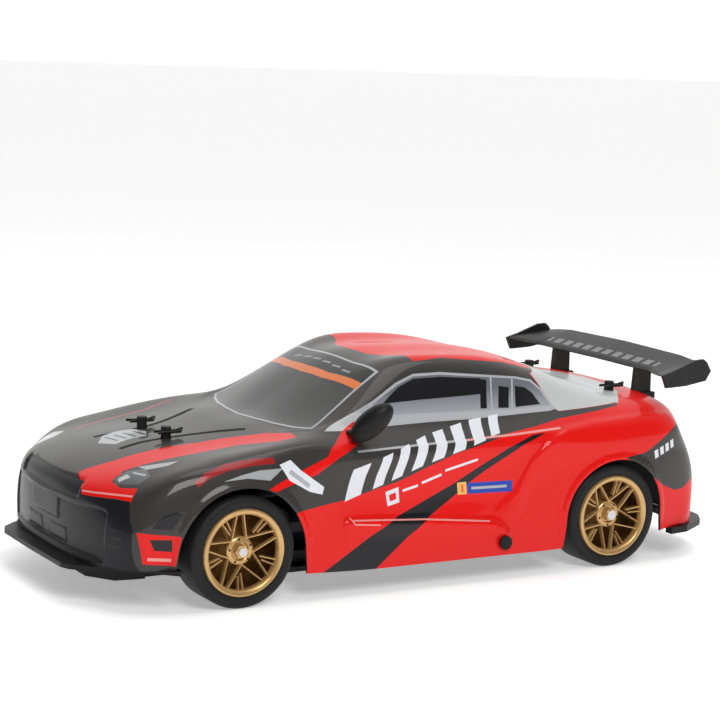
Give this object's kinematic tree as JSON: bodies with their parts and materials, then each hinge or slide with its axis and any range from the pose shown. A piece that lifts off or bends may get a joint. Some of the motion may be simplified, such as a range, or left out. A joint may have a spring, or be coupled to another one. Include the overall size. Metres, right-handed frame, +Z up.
{
  "type": "remote controlled drift car",
  "caption": "Ready-to-run radio controlled drift car: wide coupe shell with rear wing over a rear-driven chassis with steering and gold spoked wheels.",
  "frame": {"origin": "on the ground, 2 mm ahead of the middle of the length, on the car's centre plane", "axes": "+X forward towards the nose, +Y to the car's left, +Z up; wheels spin about Y"},
  "size_m": [0.44, 0.1981, 0.1315],
  "materials": {
    "shell_paint": "glossy red and charcoal paint on formed polycarbonate",
    "black_plastic": "satin black",
    "wing_plastic": "satin black",
    "chassis_plastic": "moulded black",
    "foam": "foam",
    "servo_plastic": "moulded",
    "pack_wrap": "shrink wrap",
    "controller_plastic": "moulded",
    "white_plastic": "moulded acetal",
    "steel": "plain",
    "motor_steel": "plated",
    "brass": "plain",
    "gold_plastic": "gold painted",
    "tyre_rubber": "smooth hard tyre",
    "spring_steel": "spring wire"
  },
  "bodies": {
    "chassis": {"chassis_plate": "chassis_plastic", "front_lower_beam": "chassis_plastic", "front_upper_beam": "chassis_plastic", "foam_bumper": "foam", "front_body_posts": "chassis_plastic", "rear_body_posts": "chassis_plastic", "upper_deck": "chassis_plastic", "battery_pack": "pack_wrap", "battery_strap": "chassis_plastic", "speed_control": "controller_plastic", "receiver": "controller_plastic", "steering_servo": "servo_plastic", "gear_case_left": "chassis_plastic", "gear_case_right": "chassis_plastic", "motor_mount": "chassis_plastic", "motor_can": "motor_steel", "switch_case": "chassis_plastic", "shaft_bearings": "brass", "kingpins": "steel", "chassis_screws": "steel", "kingpin_spring_left": "spring_steel", "kingpin_spring_right": "spring_steel"},
    "switch": {"switch_knob": "white_plastic"},
    "shell": {"body_shell": "shell_paint", "front_splitter": "black_plastic", "rear_lip": "black_plastic", "wing_blade": "wing_plastic", "wing_stand_left": "black_plastic", "wing_stand_right": "black_plastic", "door_mirror_left": "black_plastic", "skirt_buttons": "black_plastic", "body_clips": "black_plastic"},
    "rear_axle": {"rear_shaft": "steel", "spur_gear": "white_plastic", "rear_hexes": "white_plastic", "rear_nuts": "steel", "rim_rear_left": "gold_plastic", "rim_rear_right": "gold_plastic", "tyre_rear_left": "tyre_rubber", "tyre_rear_right": "tyre_rubber"},
    "motor_rotor": {"motor_shaft": "steel", "pinion_gear": "brass"},
    "horn": {"servo_horn": "white_plastic"},
    "link": {"steering_link": "white_plastic"},
    "seat_left": {"spring_seat_left": "white_plastic"},
    "knuckle_left": {"steering_knuckle_left": "chassis_plastic", "stub_axle_left": "steel", "front_nut_left": "steel"},
    "front_wheel_left": {"rim_front_left": "gold_plastic", "tyre_front_left": "tyre_rubber"},
    "seat_right": {"spring_seat_right": "white_plastic"},
    "knuckle_right": {"steering_knuckle_right": "chassis_plastic", "stub_axle_right": "steel", "front_nut_right": "steel"},
    "front_wheel_right": {"rim_front_right": "gold_plastic", "tyre_front_right": "tyre_rubber"}
  },
  "joints": [
    {"name": "shell_lift", "type": "slide", "parent": "chassis", "child": "shell", "axis": [0, 0, 1], "range_m": [0, 0.12], "deforming": ["body_clips"]},
    {"name": "rear_axle_spin", "type": "hinge", "parent": "chassis", "child": "rear_axle", "pos_m": [-0.1285, 0, 0.0325], "axis": [0, 1, 0], "continuous": true},
    {"name": "motor_spin", "type": "hinge", "parent": "chassis", "child": "motor_rotor", "pos_m": [-0.1057, 0, 0.0325], "axis": [0, 1, 0], "continuous": true},
    {"name": "suspension_left", "type": "slide", "parent": "chassis", "child": "seat_left", "axis": [0, 0, 1], "range_m": [-0.002, 0.003], "stiffness_N_per_m": 1500, "springref_m": -0.0025, "deforming": ["kingpin_spring_left"]},
    {"name": "steer_left", "type": "hinge", "parent": "seat_left", "child": "knuckle_left", "pos_m": [0.1285, 0.072, 0.0325], "axis": [0, 0, 1], "range_deg": [-25, 25]},
    {"name": "front_wheel_spin_left", "type": "hinge", "parent": "knuckle_left", "child": "front_wheel_left", "pos_m": [0.1285, 0.0815, 0.0325], "axis": [0, 1, 0], "continuous": true},
    {"name": "suspension_right", "type": "slide", "parent": "chassis", "child": "seat_right", "axis": [0, 0, 1], "range_m": [-0.002, 0.003], "stiffness_N_per_m": 1500, "springref_m": -0.0025, "deforming": ["kingpin_spring_right"]},
    {"name": "steer_right", "type": "hinge", "parent": "seat_right", "child": "knuckle_right", "pos_m": [0.1285, -0.072, 0.0325], "axis": [0, 0, 1], "range_deg": [-25, 25]},
    {"name": "front_wheel_spin_right", "type": "hinge", "parent": "knuckle_right", "child": "front_wheel_right", "pos_m": [0.1285, -0.0815, 0.0325], "axis": [0, 1, 0], "continuous": true},
    {"name": "servo_turn", "type": "hinge", "parent": "chassis", "child": "horn", "pos_m": [0.1, 0, 0.036], "axis": [0, 0, 1], "range_deg": [-25, 25]},
    {"name": "link_pivot", "type": "hinge", "parent": "horn", "child": "link", "pos_m": [0.088, 0, 0.04], "axis": [0, 0, 1], "range_deg": [-25, 25]},
    {"name": "switch_slide", "type": "slide", "parent": "chassis", "child": "switch", "axis": [1, 0, 0], "range_m": [0, 0.0045]}
  ],
  "couplings": [
    {"joint": "motor_spin", "follows": "rear_axle_spin", "ratio": -3.3846},
    {"joint": "steer_right", "follows": "steer_left", "ratio": 1},
    {"joint": "servo_turn", "follows": "steer_left", "ratio": 1},
    {"joint": "link_pivot", "follows": "steer_left", "ratio": -1}
  ]
}
